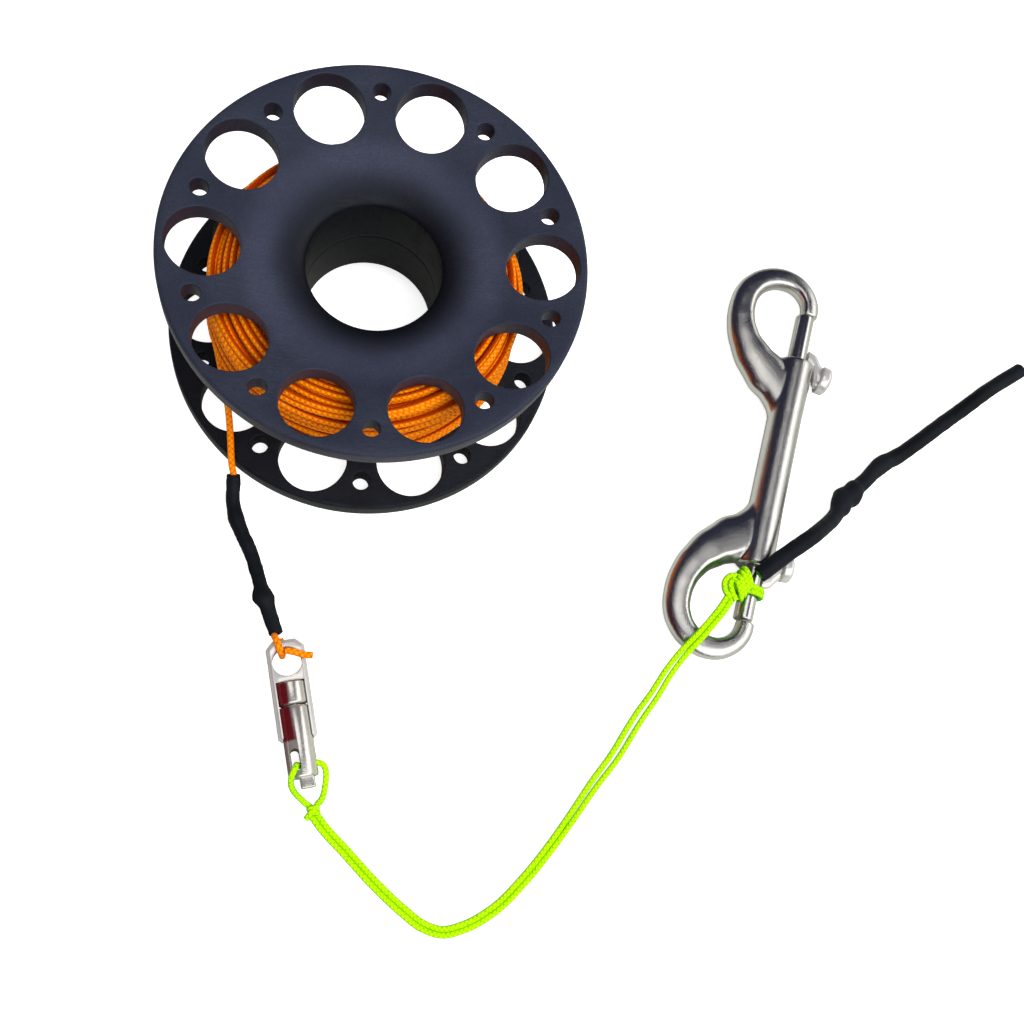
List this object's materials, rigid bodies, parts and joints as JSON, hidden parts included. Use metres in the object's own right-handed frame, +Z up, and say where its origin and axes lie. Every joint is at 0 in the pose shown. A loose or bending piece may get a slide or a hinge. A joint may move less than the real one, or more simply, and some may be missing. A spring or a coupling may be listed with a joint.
{
  "type": "finger spool",
  "caption": "Finger spool wound with thin line, with pierced dished flanges, a small swivel connector, a doubled leash and a double-ended bolt snap.",
  "frame": {"origin": "centre of the spool's underside, on the surface that the whole object lies on", "axes": "+Z up along the spool's axis, +X to the right and +Y away from the viewer of the picture"},
  "size_m": [0.2134, 0.1805, 0.0415],
  "materials": {
    "spool_plastic": "turned dark navy-black acetal, matte with fine scratches",
    "line_orange": "braided polyester line, orange",
    "leash_lime": "braided polyester cord, fluorescent lime",
    "shrink_black": "black heat-shrink tubing, satin",
    "cast_steel": "polished stainless casting",
    "turned_steel": "turned stainless steel",
    "spring_steel": "drawn spring wire"
  },
  "bodies": {
    "spool_and_line": {"spool_upper_half": "spool_plastic", "spool_lower_half": "spool_plastic", "line_winding": "line_orange", "line_lead": "line_orange", "line_eye_loop": "line_orange", "line_tag_end": "line_orange", "lead_sleeve": "shrink_black", "tail_sleeve": "shrink_black", "connector_eye": "turned_steel", "connector_collar": "turned_steel", "leash_inner_strand": "leash_lime", "leash_outer_strand": "leash_lime", "leash_snap_knot": "leash_lime", "leash_tail": "leash_lime", "snap_body": "cast_steel", "snap_upper_spring": "spring_steel", "snap_lower_spring": "spring_steel"},
    "upper_bolt": {"snap_upper_bolt": "turned_steel", "snap_upper_stud": "turned_steel"},
    "lower_bolt": {"snap_lower_bolt": "turned_steel", "snap_lower_stud": "turned_steel"},
    "swivel_barrel": {"connector_barrel": "turned_steel", "connector_pin": "turned_steel", "leash_loop": "leash_lime", "leash_loop_knot": "leash_lime"}
  },
  "joints": [
    {"name": "upper_bolt_slide", "type": "slide", "parent": "spool_and_line", "child": "upper_bolt", "axis": [-0.1971, -0.9804, 0], "range_m": [0, 0.0105], "stiffness_N_per_m": 150, "springref_m": -0.003, "deforming": ["snap_upper_spring"]},
    {"name": "lower_bolt_slide", "type": "slide", "parent": "spool_and_line", "child": "lower_bolt", "axis": [0.1971, 0.9804, 0], "range_m": [0, 0.0105], "stiffness_N_per_m": 150, "springref_m": -0.003, "deforming": ["snap_lower_spring"]},
    {"name": "barrel_swivel", "type": "hinge", "parent": "spool_and_line", "child": "swivel_barrel", "pos_m": [-0.00959, -0.0807, 0.0036], "axis": [0.2487, -0.9686, 0], "continuous": true}
  ]
}
